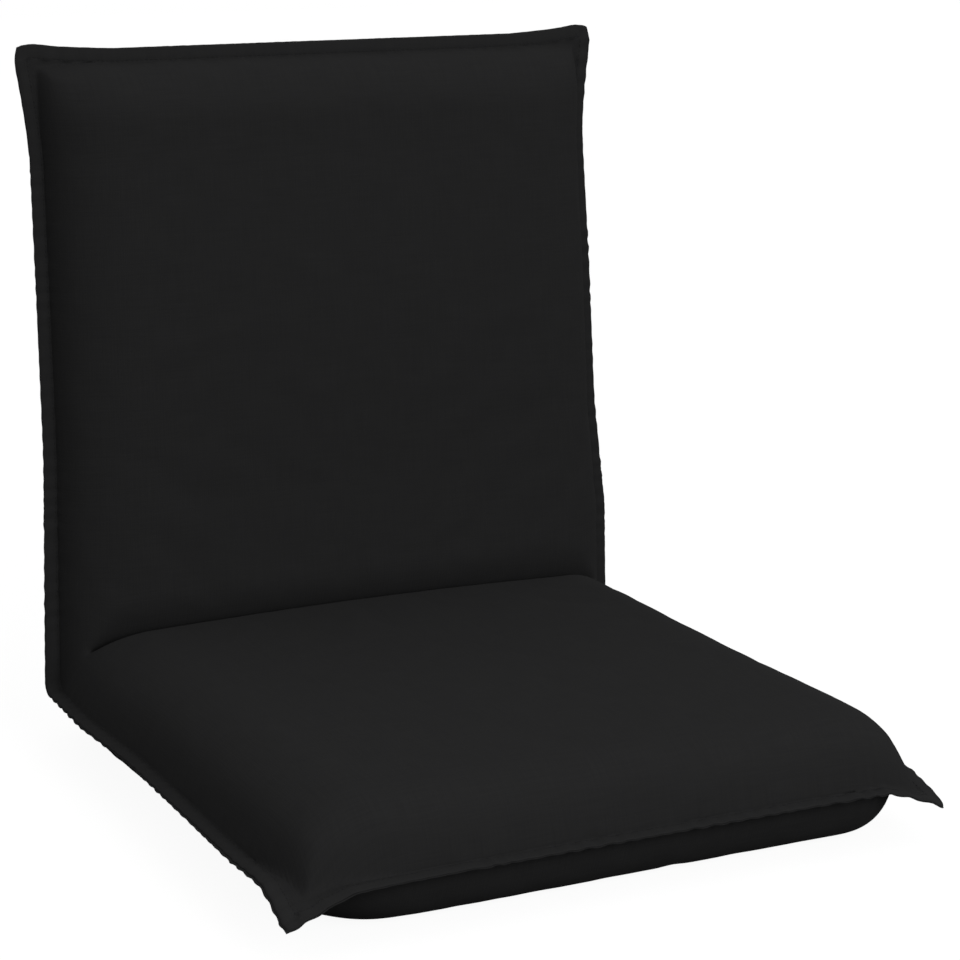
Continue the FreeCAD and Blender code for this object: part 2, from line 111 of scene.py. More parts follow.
def mottled(name, colour, low, high, drift, grain, depth, roughness, rough_low, rough_high, **kind):
    """A material whose colour and roughness drift between two values, with a fine relief."""
    material, tree, shader = plain_material(name, colour, roughness, **kind)
    place = node(tree, "TexCoord").outputs["Object"]
    cloud = node(tree, "TexNoise", [("Vector", place), ("Scale", drift), ("Detail", 4.0),
                                    ("Roughness", 0.6)]).outputs["Fac"]
    tree.links.new(colour_between(tree, cloud, low, high, 0.3, 0.7), shader.inputs["Base Color"])
    tree.links.new(ranged(tree, cloud, 0.3, 0.7, rough_low, rough_high), shader.inputs["Roughness"])
    speckle = node(tree, "TexNoise", [("Vector", place), ("Scale", grain), ("Detail", 3.0)])
    raised(tree, shader, speckle.outputs["Fac"], 1.0, depth)
    return material


def dress(material, *names):
    """The material on CAD nodes whose shape is right as it is."""
    for name in names:
        slots = nodes[name].data.materials
        slots.clear()
        slots.append(material)


powder_coat = mottled("powder_coat", (0.02, 0.02, 0.021), low=(0.017, 0.017, 0.018),
                      high=(0.027, 0.027, 0.028), drift=40.0, grain=900.0, depth=0.00006,
                      roughness=0.42, rough_low=0.36, rough_high=0.52)
dress(powder_coat, "seat_frame_hoop", "seat_frame_rail", "back_frame_hoop", "back_frame_rail")


# Elastic webbing straps that span each hoop. Ribbed black polyester over rubber threads, sewn
# into loops round the side tubes, with a paler line of rib where the rubber shows through.

webbing, tree, shader = plain_material("elastic_webbing", (0.03, 0.03, 0.032), 0.85, specular=0.25)
place = node(tree, "TexCoord").outputs["Object"]
ribs = node(tree, "TexWave", [("Vector", place), ("Scale", 160.0), ("Distortion", 0.6),
                              ("Detail", 2.0), ("Detail Scale", 3.0)], bands_direction="Z")
cross_ribs = node(tree, "TexWave", [("Vector", place), ("Scale", 230.0), ("Distortion", 0.4)],
                  bands_direction="X")
woven = node(tree, "Math", [(0, ribs.outputs["Fac"]), (1, cross_ribs.outputs["Fac"])],
             operation="MULTIPLY").outputs["Value"]
tone = colour_between(tree, woven, (0.018, 0.018, 0.019), (0.055, 0.055, 0.057))
tree.links.new(tone, shader.inputs["Base Color"])
raised(tree, shader, woven, 0.8, 0.0004)
for half in ("seat", "back"):
    dress(webbing, *[f"{half}_strap_{n}" for n in (1, 2, 3)])


# Ratchet hinges: pressed housing plates and toothed arms in zinc-plated steel, turned pivots and
# pins, domed rivets, hardened pawls and blued leaf springs, all under a thin film of grease.

zinc_plate = mottled("zinc_plate", (0.55, 0.56, 0.57), low=(0.44, 0.45, 0.46),
                     high=(0.62, 0.63, 0.64), drift=55.0, grain=700.0, depth=0.00005,
                     roughness=0.34, rough_low=0.28, rough_high=0.46, metallic=1.0)
hardened = mottled("hardened_steel", (0.3, 0.29, 0.28), low=(0.22, 0.21, 0.2),
                   high=(0.36, 0.35, 0.34), drift=80.0, grain=1100.0, depth=0.00004,
                   roughness=0.38, rough_low=0.3, rough_high=0.5, metallic=1.0)
turned_steel = mottled("turned_steel", (0.6, 0.6, 0.61), low=(0.52, 0.52, 0.53),
                       high=(0.66, 0.66, 0.67), drift=90.0, grain=1500.0, depth=0.00003,
                       roughness=0.25, rough_low=0.18, rough_high=0.34, metallic=1.0)
blued_spring = mottled("blued_spring", (0.08, 0.09, 0.14), low=(0.05, 0.06, 0.1),
                       high=(0.12, 0.13, 0.18), drift=70.0, grain=900.0, depth=0.00003,
                       roughness=0.3, rough_low=0.24, rough_high=0.4, metallic=1.0)
for side in ("left", "right"):
    dress(zinc_plate, f"{side}_hinge_outer_plate", f"{side}_hinge_inner_plate")
    dress(hardened, f"{side}_hinge_gear_arm", f"{side}_pawl")
    dress(turned_steel, f"{side}_hinge_pivot", f"{side}_pawl_pin", f"{side}_seat_tube_rivets",
          f"{side}_back_tube_rivets")
    dress(blued_spring, f"{side}_pawl_spring")


# Shape of a stuffed half. A pad is flat-faced foam with rounded sides that fall to the seam at
# mid thickness, its sides drawn in between the corners, and the two pads meet in one soft crease.
# In millimetres from the hinge's axis: the seat runs along -Y, the back along up_back.

MM = 0.001
hinge_y, hinge_z = recline["pos_m"][1] / MM, recline["pos_m"][2] / MM
back_angle = 87.0
lean, middle = math.radians(back_angle), math.radians((180.0 + back_angle) / 2)
up_back = np.array([math.cos(lean), math.sin(lean)])
out_of_back = np.array([-math.sin(lean), math.cos(lean)])
out_of_crease = np.array([math.cos(middle), math.sin(middle)])
half_width, far_seam, rim_width, wall = 253.0, 518.0, 12.0, 54.0
reach, spacing, bend_count = 105.0, 3.4, 56
seat_rise, back_rise, seat_under, back_under = 52.5, 45.5, 44.0, 43.5


def soft(t):
    """0 to 1 with a gentle start and end."""
    t = np.clip(t, 0, 1)
    return t * t * (3 - 2 * t)


def eased(at, places, values, window=46.0):
    """Values between the given places, with the corners of the line smoothed away."""
    step, margin = 2.0, 100.0
    dense = np.arange(places[0] - margin, places[-1] + margin, step)
    line = np.interp(dense, places, values)
    kernel = np.hanning(int(window / step) + 2)
    padded = np.pad(line, len(kernel) // 2, mode="edge")
    smooth = np.convolve(padded, kernel / kernel.sum(), mode="same")
    return np.interp(at, dense, smooth[len(kernel) // 2:][:len(dense)])


def steps(low, high, gap):
    """Even steps of about that gap."""
    return np.linspace(low, high, max(2, int(round(abs(high - low) / gap)) + 1))


def edge_profile(far, round_run, near, gap, lines=()):
    """From near to the outer edge: place, share of full height, and how far out on the rim."""
    rim_gap = 1.8
    flat = steps(near, far - round_run, gap)
    if lines:
        flat = flat[np.abs(flat[:, None] - np.array(lines)).min(axis=1) > gap / 2]
        flat = np.sort(np.concatenate([flat, lines]))
    turn = steps(0.0, 90.0, 90.0 * gap / (round_run * math.pi / 2))[1:]
    rim = steps(0.0, rim_width, rim_gap)[1:]
    place = np.concatenate([flat, far - round_run * (1 - np.sin(np.radians(turn))), far + rim])
    rise = np.concatenate([np.ones(len(flat)), np.cos(np.radians(turn)), np.zeros(len(rim))])
    out = np.concatenate([np.zeros(len(flat) + len(turn)), rim])
    return place, rise, out


def rounded(points, radii, arc_points=14):
    """A line through the points with its inner corners rounded off."""
    points = [np.asarray(p, float) for p in points]
    line = [points[0]]
    for before, corner, after, radius in zip(points, points[1:], points[2:], radii):
        a, b = before - corner, after - corner
        a, b = a / np.linalg.norm(a), b / np.linalg.norm(b)
        opening = math.acos(max(-1.0, min(1.0, float(a @ b))))
        centre = corner + (a + b) / np.linalg.norm(a + b) * radius / math.sin(opening / 2)
        start = corner + a * radius / math.tan(opening / 2) - centre
        end = corner + b * radius / math.tan(opening / 2) - centre
        sweep = math.pi - opening
        for t in np.linspace(0, 1, arc_points):
            line.append(centre + (math.sin((1 - t) * sweep) * start + math.sin(t * sweep) * end)
                        / math.sin(sweep))
    line.append(points[-1])
    return np.array(line)


def run_of(line):
    """Distance along a line at each of its points."""
    return np.concatenate([[0], np.cumsum(np.linalg.norm(np.diff(line, axis=0), axis=1))])


def spaced(line, count):
    """The same line by evenly spaced points."""
    run = run_of(line)
    at = np.linspace(0, run[-1], count)
    return np.stack([np.interp(at, run, line[:, k]) for k in (0, 1)], axis=1)


def front_bend(seat_height, back_height, share, hollow, count, gap):
    """The sitter's side of one column, from seat to back: an open hollow near the side seams,
    where share is low, and a tuck that grows deep towards the middle."""
    fold_from, fold_over, deep_from, deep_over = 0.60, 0.20, 0.70, 0.28
    shallow, deepening, seat_turn, back_turn = 3.0, 30.0, 18.0, 64.0
    start = np.array([-reach, seat_height])
    end = reach * up_back + back_height * out_of_back
    along = (seat_height - back_height * math.cos(lean)) / math.sin(lean)
    crease = along * up_back + back_height * out_of_back
    path = spaced(rounded([start, crease, end], [hollow]), count)
    begun, deep = soft((share - fold_from) / fold_over), soft((share - deep_from) / deep_over)
    if begun > 0:
        depth = shallow + deepening * deep
        half_gap = gap * (0.5 + 0.5 * deep)
        shift = half_gap / math.sin(middle - math.pi / 2)
        seat_lip = crease - np.array([shift, 0.0])
        back_lip = crease + up_back * shift
        inwards = out_of_crease * depth
        corners = [start, seat_lip, seat_lip - inwards, back_lip - inwards, back_lip, end]
        turn = half_gap * 0.95
        radii = [min(seat_turn, depth * 1.5), turn, turn, min(back_turn, depth * 1.95)]
        path = path + begun * (spaced(rounded(corners, radii), count) - path)
    return path


def rear_bend(seat_height, back_height, radius, count):
    """The floor side of one column, round the outside of the hinge."""
    start = np.array([-reach, -seat_height])
    end = reach * up_back - back_height * out_of_back
    along = (back_height * math.cos(lean) - seat_height) / math.sin(lean)
    corner = along * up_back - back_height * out_of_back
    return spaced(rounded([start, corner, end], [radius]), count)


columns, column_rise, column_out = edge_profile(half_width, wall, 0.0, spacing)
columns = np.concatenate([-columns[:0:-1], columns])
column_rise = np.concatenate([column_rise[:0:-1], column_rise])
column_out = np.concatenate([column_out[:0:-1], column_out])
zip_at, zip_half_slot, zip_half_length = 440.0, 4.0, 204.0
zip_lines = [zip_at + off for off in (-8.0, -6.3, -5.2, -4.0, 4.0, 5.2, 6.3, 8.0)]
row_place, row_rise, row_out = edge_profile(far_seam, wall, reach, spacing, zip_lines)


def swell(x, s, half):
    """How much the middle of a pad stands above its shoulders, on the sitter's side."""
    in_middle, crown_end = 4.5, 260.0
    at_crease = 6.0 if half == "seat" else 1.6
    along = np.sin(np.pi * np.clip((s - reach) / (far_seam - reach), 0, 1)) ** 2
    towards_crease = soft((crown_end - s) / (crown_end - reach))
    tall = np.maximum(at_crease * towards_crease,
                      at_crease * 0.3 + (in_middle - at_crease * 0.3) * along)
    return tall * np.clip(1 - (x / half_width) ** 2, 0, 1)


def from_edges(x, s):
    """How far a point lies in from the outer edges, across and along."""
    return half_width + rim_width - np.abs(x), far_seam + rim_width - s


def plan(x, s, half, pull):
    """Seen flat: sides drawn in between the corners, and the corners pulled out into ears."""
    in_x, in_s = from_edges(x, s)
    by_tip = np.clip(1 - np.hypot(in_x, in_s) / 85.0, 0, 1)
    places = [0, 60, 200, 330, 440, 530]
    if half == "seat":
        right, left = [8.0, 4.0, -1.0, -3.5, -0.5, -3.0], [11.0, 8.0, 3.5, 6.5, 9.5, 5.0]
        end = eased(np.abs(x), [0, 150, 230, 265], [-4.0, -3.5, -1.0, 1.0])
        ear, tip = np.where(x > 0, 4.0, 8.0) * by_tip ** 2, rim_width
    else:
        right, left = [13.0, 7.0, -4.5, -7.5, -11.8, -9.0], [6.5, 1.0, -4.5, -5.5, -6.0, -3.8]
        end = eased(np.abs(x), [0, 210, 230, 265], [0.0, 0.0, -1.0, 0.0])
        ear, tip = 9.0 * by_tip ** 1.6, 24.0
    side = np.where(x > 0, eased(s, places, right), eased(s, places, left))
    new_x = x + np.sign(x) * (side * (np.abs(x) / half_width) ** pull + ear)
    new_s = s + end * np.clip((s - reach) / (far_seam - reach), 0, 1) ** 2 + ear
    a, b = np.clip(1 - in_x / tip, 0, 1), np.clip(1 - in_s / tip, 0, 1)
    new_x = new_x - np.sign(x) * 0.8 * tip * a * (1 - np.sqrt(1 - b * b / 2))
    new_s = new_s - 0.8 * tip * b * (1 - np.sqrt(1 - a * a / 2))
    return new_x, new_s


def droop(x, s):
    """How far the seat's front ears hang down."""
    hang, over = 17.0, 48.0
    return hang * np.clip(1 - np.hypot(*from_edges(x, s)) / over, 0, 1) ** 1.2


def share_of_height(face, half, x, s, inset):
    """Full over the middle of a pad, falling to nothing at the seams, with the ears left empty."""
    in_x, in_s = half_width - inset - np.abs(x), far_seam - inset - s
    if face == "front":
        if half == "seat":
            run_x, run_s, power = np.where(x < 0, 64.0, wall), wall, 0.85
            empty, over = np.where(x < 0, 14.0, 3.0), 80.0
        else:
            run_x, run_s, power, empty, over = 66.0, 48.0, 0.95, 7.0, 62.0
        from_corner = np.hypot(np.maximum(in_x, 0), np.maximum(in_s, 0))
        back_off = empty * np.clip(1 - from_corner / over, 0, 1) ** 2
        in_x, in_s = in_x - back_off, in_s - back_off
        across = np.sqrt(1 - (1 - np.clip(in_x / run_x, 0, 1)) ** 2)
        along = np.sqrt(1 - (1 - np.clip(in_s / run_s, 0, 1)) ** 2)
        foot = 1 - 0.75 * np.exp(-np.maximum(np.minimum(in_x, in_s), 0) / 3.5)
        return foot * (across * along) ** power
    corner, run = 74.0, 46.0
    if half == "seat":
        corner = np.where(x < 0, 80.0, 54.0)
        run = 45.0 + 18.0 * np.clip(-x / half_width, 0, 1) ** 4
    past = np.hypot(np.maximum(corner - in_x, 0), np.maximum(corner - in_s, 0))
    inside = np.clip(np.minimum(np.minimum(in_x, in_s), corner - past), 0, run)
    return (1 - 0.75 * np.exp(-inside / 3.0)) * np.sqrt(1 - (1 - inside / run) ** 2)


def rim_height(out):
    """Half the thickness of the sewn edge: pinched at the stitches, puffed between, thin outside."""
    puff = np.sin(np.pi * np.clip((out - 0.6) / 10.4, 0, 1)) ** 0.8
    return 1.15 + 0.5 * puff - 0.4 * np.clip((out - 9.0) / 3.0, 0, 1)


def frame_room(x, s=0.0):
    """Half the gap between two slabs of foam, wide inside the hoop for its tube and webbing."""
    return 0.2 + 11.3 * soft((240 - np.abs(x)) / 12) * soft((493 - s) / 12)


def sleeve(face, inset=0.0):
    """Grid of points of the front or rear panel, rows from the seat's front to the back's top.
    With an inset it is the surface of the foam inside, and its inner face comes too."""
    front = face == "front"
    hollow_radius, tuck_gap, off_floor = 10.5, 1.4, 0.5
    talls = (seat_rise, back_rise) if front else (seat_under, back_under)
    x, s = np.meshgrid(columns, row_place)
    out = np.maximum(*np.meshgrid(column_out, row_out))
    thick = rim_height(out) if inset == 0 else np.full(x.shape, 0.35)
    halves, inner_halves, edge = {}, {}, {}
    for half, tall in zip(("seat", "back"), talls):
        rise = share_of_height(face, half, x, s, inset)
        full = tall - inset + (swell(x, s, half) if front else 0.0)
        height = full * rise + thick
        base = np.minimum(frame_room(x, s), 0.15 + 0.85 * full * rise)
        new_x, new_s = plan(x, s, half, 2 if front else 6)
        sag = droop(x, s) if half == "seat" else 0.0
        for store, level in ((halves, height), (inner_halves, base)):
            level = (level if front else -level) - sag
            if half == "seat":
                store[half] = np.stack([new_x, -new_s, np.maximum(level, off_floor - hinge_z)], -1)
            else:
                in_back = new_s[..., None] * up_back + level[..., None] * out_of_back
                store[half] = np.concatenate([new_x[..., None], in_back], -1)
        edge[half] = height[0]
    bend = np.zeros((bend_count, len(columns), 3))
    for i, share in enumerate(column_rise):
        if front:
            hollow = hollow_radius - thick[0, i] * (1 - share)
            bend[:, i, 1:] = front_bend(edge["seat"][i], edge["back"][i], share, hollow,
                                        bend_count, tuck_gap + inset)
        else:
            radius = edge["seat"][i] + hollow_radius * (1 - share)
            bend[:, i, 1:] = rear_bend(edge["seat"][i], edge["back"][i], radius, bend_count)
    place = np.linspace(-1, 1, bend_count)[:, None]
    bend[..., 0] = (halves["seat"][0, :, 0] * (1 - place) / 2
                    + halves["back"][0, :, 0] * (1 + place) / 2)
    grid = np.concatenate([halves["seat"][::-1], bend[1:-1], halves["back"]])
    if inset == 0:
        return grid
    inner = {}
    for half, way, out_of in (("seat", np.array([-1.0, 0.0]), np.array([0.0, 1.0])),
                              ("back", up_back, out_of_back)):
        out_of = out_of if front else -out_of
        along, tall = bend[..., 1:] @ way, bend[..., 1:] @ out_of
        x = np.abs(bend[..., 0])
        hinge_room = 70.0 * soft((62 - np.hypot(along, tall)) / 12) * soft((x - 176) / 10)
        base = np.minimum(np.maximum(frame_room(x), hinge_room), 0.15 + 0.96 * np.maximum(tall, 0))
        inner[half] = bend.copy()
        inner[half][..., 1:] = along[..., None] * way + base[..., None] * out_of
    count = bend_count // 2 if front else int(bend_count * 0.36)
    return {"seat": (np.concatenate([halves["seat"][::-1], bend[1:count]]),
                     np.concatenate([inner_halves["seat"][::-1], inner["seat"][1:count]])),
            "back": (np.concatenate([bend[-count:-1], halves["back"]]),
                     np.concatenate([inner["back"][-count:-1], inner_halves["back"]]))}


# Foam pads: cut slabs of soft open-cell polyurethane, one on each side of each frame, hollowed a
# little for the tubes and webbing and cut away round the hinges. Cream, and duller where rubbed.

foam_skin, tree, shader = plain_material("cream_foam", (0.72, 0.66, 0.5), 0.95, specular=0.2)
place = node(tree, "TexCoord").outputs["Object"]
cells = node(tree, "TexVoronoi", [("Vector", place), ("Scale", 650.0)])
age = node(tree, "TexNoise", [("Vector", place), ("Scale", 14.0), ("Detail", 4.0)])
tone = colour_between(tree, age.outputs["Fac"], (0.58, 0.5, 0.34), (0.8, 0.75, 0.6))
tree.links.new(tone, shader.inputs["Base Color"])
raised(tree, shader, cells.outputs["Distance"], 0.9, 0.0006)


def finished(grid):
    """From the hinge's own frame in millimetres to the model's frame in metres."""
    return (grid + np.array([0.0, hinge_y, hinge_z])) * MM


def placed(name, data):
    """A new object in the scene."""
    made = bpy.data.objects.new(name, data)
    bpy.context.scene.collection.objects.link(made)
    return made


def quads(at):
    """The four corners of each cell in a grid of point numbers."""
    return np.stack([at[:-1, :-1], at[:-1, 1:], at[1:, 1:], at[1:, :-1]], axis=-1)


def grid_mesh(name, outer, inner, uv, holes=None, painted_ridge_highlight=None):
    """A closed thin sheet from two matching grids, with the faces in holes left out."""
    rows, cols = outer.shape[:2]
    keep = np.ones((rows - 1, cols - 1), bool) if holes is None else ~holes
    at = np.arange(rows * cols).reshape(rows, cols)
    top = quads(at)[keep]
    below = top[:, ::-1] + rows * cols
    sides = []
    padded = np.pad(keep, 1)
    for (down, aside), a, b in (((-1, 0), at[:-1, :-1], at[:-1, 1:]),
                                ((1, 0), at[1:, 1:], at[1:, :-1]),
                                ((0, -1), at[1:, :-1], at[:-1, :-1]),
                                ((0, 1), at[:-1, 1:], at[1:, 1:])):
        edge = keep & ~padded[1 + down:rows + down, 1 + aside:cols + aside]
        a, b = a[edge], b[edge]
        sides.append(np.stack([b, a, a + rows * cols, b + rows * cols], axis=-1))
    faces = np.concatenate([top, below, *sides])
    points = np.concatenate([outer.reshape(-1, 3), inner.reshape(-1, 3)])
    used = np.unique(faces)
    renumber = np.zeros(len(points), int)
    renumber[used] = np.arange(len(used))
    mesh = bpy.data.meshes.new(name)
    mesh.from_pydata(points[used].tolist(), [], renumber[faces].tolist())
    layer = mesh.uv_layers.new(name="cloth")
    corner = np.zeros(len(mesh.loops), np.int32)
    mesh.loops.foreach_get("vertex_index", corner)
    flat = np.concatenate([uv.reshape(-1, 2)] * 2)[used]
    layer.data.foreach_set("uv", flat[corner].astype(np.float32).ravel())
    if painted_ridge_highlight is not None:
        layer = mesh.attributes.new("painted_ridge_highlight", "FLOAT", "POINT")
        layer.data.foreach_set("value", np.concatenate([painted_ridge_highlight.ravel()] * 2)[used].astype(np.float32))
    mesh.polygons.foreach_set("use_smooth", np.ones(len(mesh.polygons), bool))
    mesh.update()
    return placed(name, mesh)


def measured(grid):
    """Cloth coordinates in metres, by run along one row and the middle column."""
    rows, cols = grid.shape[:2]
    return np.stack(np.meshgrid(run_of(grid[rows // 4]), run_of(grid[:, cols // 2])), axis=-1) * MM


def foam_slab(name, face, half):
    """A slab between one face of the sleeve and the frame, on one half of the chair."""
    inset, least_rise, thinnest = 3.0, 0.2, 4.0
    skin, under = sleeve(face, inset)[half]
    inside = np.flatnonzero(column_rise >= least_rise)
    across = np.unique(np.append(inside[::2], inside[-1]))
    skipped = np.count_nonzero(row_rise < least_rise)
    kept = np.arange(skipped, len(skin)) if half == "seat" else np.arange(0, len(skin) - skipped)
    rows = np.unique(np.append(kept[::2], kept[-1]))
    skin, under = skin[rows][:, across], under[rows][:, across]
    uv = measured(skin)
    if face == "rear":
        skin, under, uv = skin[:, ::-1], under[:, ::-1], uv[:, ::-1]
    thin = np.linalg.norm(skin - under, axis=2) < thinnest
    piece = grid_mesh(name, finished(skin), finished(under), uv, quads(thin).any(axis=-1))
    piece.data.materials.append(foam_skin)
    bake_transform(piece)
    return piece


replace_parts(foam_slab("seat_top_foam", "front", "seat"), "seat_foam_top")
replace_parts(foam_slab("seat_base_foam", "rear", "seat"), "seat_foam_base")
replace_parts(foam_slab("back_front_foam", "front", "back"), "back_foam_front")
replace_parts(foam_slab("back_rear_foam", "rear", "back"), "back_foam_rear")


# Sleeve cover: one front and one rear panel of black slub polyester, sewn face to face, turned,
# and topstitched all round, which leaves a flat puckered edge and four limp ears.

black_cloth, tree, shader = plain_material("black_cloth", (0.0145, 0.0145, 0.0148), 0.9, specular=0.0)
shader.inputs["Sheen Weight"].default_value = 0.01
shader.inputs["Sheen Roughness"].default_value = 0.5
thread_pitch = 0.0009
place = node(tree, "UVMap", uv_map="cloth").outputs["UV"]
split = node(tree, "SeparateXYZ", [("Vector", place)])
yarns, waves = [], []
for axis, scale in (("X", (700.0, 24.0, 1.0)), ("Y", (24.0, 700.0, 1.0))):
    drawn_out = node(tree, "Mapping", [("Vector", place), ("Scale", scale)])
    yarns.append(node(tree, "TexNoise", [("Vector", drawn_out.outputs["Vector"]), ("Scale", 1.0),
                                         ("Detail", 2.0), ("Roughness", 0.55)],
                      noise_dimensions="2D").outputs["Fac"])
    turn = node(tree, "Math", [(0, split.outputs[axis]), (1, 2 * math.pi / thread_pitch)],
                operation="MULTIPLY")
    waves.append(node(tree, "Math", [(0, turn.outputs["Value"])], operation="SINE").outputs["Value"])
slub = node(tree, "Math", [(0, yarns[0]), (1, yarns[1])], operation="ADD").outputs["Value"]
blotch = node(tree, "TexNoise", [("Vector", place), ("Scale", 9.0), ("Detail", 3.0)])
weave = node(tree, "Math", [(0, waves[0]), (1, waves[1])], operation="MULTIPLY")
shade = node(tree, "Mix", [("Factor", ranged(tree, slub, 0.7, 1.3, 0.0, 1.0)),
                           ("A", (0.0133, 0.0133, 0.0135, 1)),
                           ("B", (0.0149, 0.0149, 0.0151, 1))], data_type="RGBA")
# Painted highlight: the puffed ridge of the sewn edge is mixed towards a paler black, standing in for
# the light that ridge catches.
painted_highlight_attribute = node(tree, "Attribute", attribute_name="painted_ridge_highlight")
lighter = node(tree, "Mix", [("Factor", painted_highlight_attribute.outputs["Fac"]), ("A", shade.outputs["Result"]),
                             ("B", (0.017, 0.017, 0.0173, 1))], data_type="RGBA")
tree.links.new(lighter.outputs["Result"], shader.inputs["Base Color"])
rough = ranged(tree, blotch.outputs["Fac"], 0.3, 0.7, 0.82, 0.96)
tree.links.new(rough, shader.inputs["Roughness"])
thread_height = node(tree, "Math", [(0, weave.outputs["Value"]), (1, 0.16), (2, slub)],
                     operation="MULTIPLY_ADD")
raised(tree, shader, thread_height.outputs["Value"], 0.55, 0.00016)

random = np.random.default_rng(7)
all_place = np.concatenate([-row_place[::-1], np.zeros(bend_count - 2), row_place])
all_rise = np.concatenate([row_rise[::-1], np.ones(bend_count - 2), row_rise])
all_out = np.concatenate([row_out[::-1], np.zeros(bend_count - 2), row_out])
rim_out = np.maximum(*np.meshgrid(column_out, all_out))


def normals(grid, outward):
    """Directions out of the grid, on the side that outward picks."""
    across, along = np.gradient(grid, axis=1), np.gradient(grid, axis=0)
    n = np.cross(across, along)
    return outward * n / np.maximum(np.linalg.norm(n, axis=2, keepdims=True), 1e-12)


def gathers(length, period=15.0):
    """Uneven puckers along a seam of that length in millimetres, one value per millimetre."""
    at = np.arange(int(length) + 2)
    knots = np.arange(0, length + 80, 26.0)
    drift = np.interp(at, knots, random.normal(0, 1.1, len(knots)))
    strength = np.interp(at, knots, random.uniform(0.1, 1.3, len(knots)))
    window = np.hanning(17) / np.hanning(17).sum()
    drift, strength = (np.convolve(np.pad(v, 8, mode="edge"), window, mode="valid")
                       for v in (drift, strength))
    return strength * np.sin(2 * np.pi * at / period + 1.4 * drift)


side_gathers = [gathers(1400.0), gathers(1400.0)]
end_gathers = [gathers(620.0), gathers(620.0)]


def fading(up, puff):
    """How much a pucker moves the cloth: the sewn edge lifts, and the wall above it puffs."""
    return 0.6 * np.exp(-up / 5.0) + puff * (up / 7.0 * np.exp(1 - up / 7.0))


def puckered(grid, face):
    """The grid with its seams gathered: waves in the sewn edge that fade up the pad's side."""
    outward = 1.0 if face == "front" else -1.0
    n = normals(grid, 1.0)
    run = run_of(grid[:, 3])
    up_side = np.where(column_out > 0, 0, wall * np.arcsin(np.clip(column_rise, 0, 1)))
    up_end = np.where(all_out > 0, 0, wall * np.arcsin(np.clip(all_rise, 0, 1)))
    moved = grid.copy()
    for puckers, sign in zip(side_gathers, (-1, 1)):
        wave = np.interp(run, np.arange(len(puckers)), puckers)[:, None]
        on = (np.sign(columns) == sign)[None, :]
        moved += (wave * on * fading(up_side, 0.14 * outward)[None, :])[..., None] * n
        moved[..., 0] += sign * 0.3 * np.roll(wave, 3) * (column_out / rim_width)[None, :] * on
    on_seat = np.arange(len(grid)) < len(grid) // 2
    for puckers, on in zip(end_gathers, (on_seat, ~on_seat)):
        wave = np.interp(columns + 300.0, np.arange(len(puckers)), puckers)[None, :]
        moved += (wave * (on * fading(up_end, 0.24 * outward))[:, None])[..., None] * n
    return moved


def settled(grid, frames=20):
    """How far the cloth moves when it is a little too large for the foam that pushes it out."""
    sewn_rise, middle_rows, held_by_foam = 0.12, 10, 0.12
    rows, cols = (np.unique(np.append(np.arange(0, count, 2), count - 1)) for count in grid.shape[:2])
    coarse = grid[rows][:, cols]
    shape = coarse.shape[:2]
    start = coarse + normals(coarse, 1.0) * random.normal(0, 0.15, shape)[..., None]
    faces = quads(np.arange(shape[0] * shape[1]).reshape(shape)).reshape(-1, 4)
    mesh = bpy.data.meshes.new("cloth_trial")
    mesh.from_pydata((start.reshape(-1, 3) * MM).tolist(), [], faces.tolist())
    trial = placed("cloth_trial", mesh)
    sewn = np.maximum(*np.meshgrid(column_rise[cols] < sewn_rise, all_out[rows] > 0))
    in_crease = np.abs(rows - grid.shape[0] // 2) < middle_rows
    held = (sewn | in_crease[:, None]).ravel()
    group = trial.vertex_groups.new(name="held")
    group.add(np.flatnonzero(held).tolist(), 1.0, "REPLACE")
    group.add(np.flatnonzero(~held).tolist(), held_by_foam, "REPLACE")
    cloth = trial.modifiers.new("cloth", "CLOTH")
    set_up = cloth.settings
    set_up.quality, set_up.mass = 6, 0.3
    set_up.tension_stiffness = set_up.compression_stiffness = 20
    set_up.shear_stiffness, set_up.bending_stiffness = 8, 0.6
    set_up.air_damping = 2
    set_up.use_pressure, set_up.uniform_pressure_force = True, 1.0
    set_up.vertex_group_mass, set_up.pin_stiffness = "held", 1.0
    set_up.shrink_min = set_up.shrink_max = -0.006
    set_up.effector_weights.gravity = 0
    cloth.collision_settings.use_collision = False
    cloth.point_cache.frame_start, cloth.point_cache.frame_end = 1, frames
    for number in range(1, frames + 1):
        bpy.context.scene.frame_set(number)
    ready = trial.evaluated_get(bpy.context.evaluated_depsgraph_get())
    where = np.zeros(len(mesh.vertices) * 3, np.float32)
    ready.data.vertices.foreach_get("co", where)
    moved = where.reshape(*shape, 3) / MM - coarse
    bpy.context.scene.frame_set(1)
    bpy.data.objects.remove(trial)
    every_row, every_col = np.arange(grid.shape[0]), np.arange(grid.shape[1])
    half_way = np.stack([[np.interp(every_col, cols, line) for line in moved[..., k]]
                         for k in range(3)], -1)
    return np.stack([np.stack([np.interp(every_row, rows, half_way[:, c, k]) for c in every_col], -1)
                     for k in range(3)], -1)


def calmed(shift, grid, face):
    """The cloth's own folds, softened and kept shallow, since the foam holds it nearly smooth."""
    n = normals(grid, 1.0 if face == "front" else -1.0)
    out = (shift * n).sum(axis=2)
    window = np.hanning(9)[1:-1] / np.hanning(9)[1:-1].sum()
    for axis in (0, 1):
        out = np.apply_along_axis(
            lambda v: np.convolve(np.pad(v, 3, mode="edge"), window, "valid"), axis, out)
    out = 0.55 * np.clip(out, -0.8, 5.0) if face == "front" else np.clip(out, -0.8, 1.0)
    return out[..., None] * n


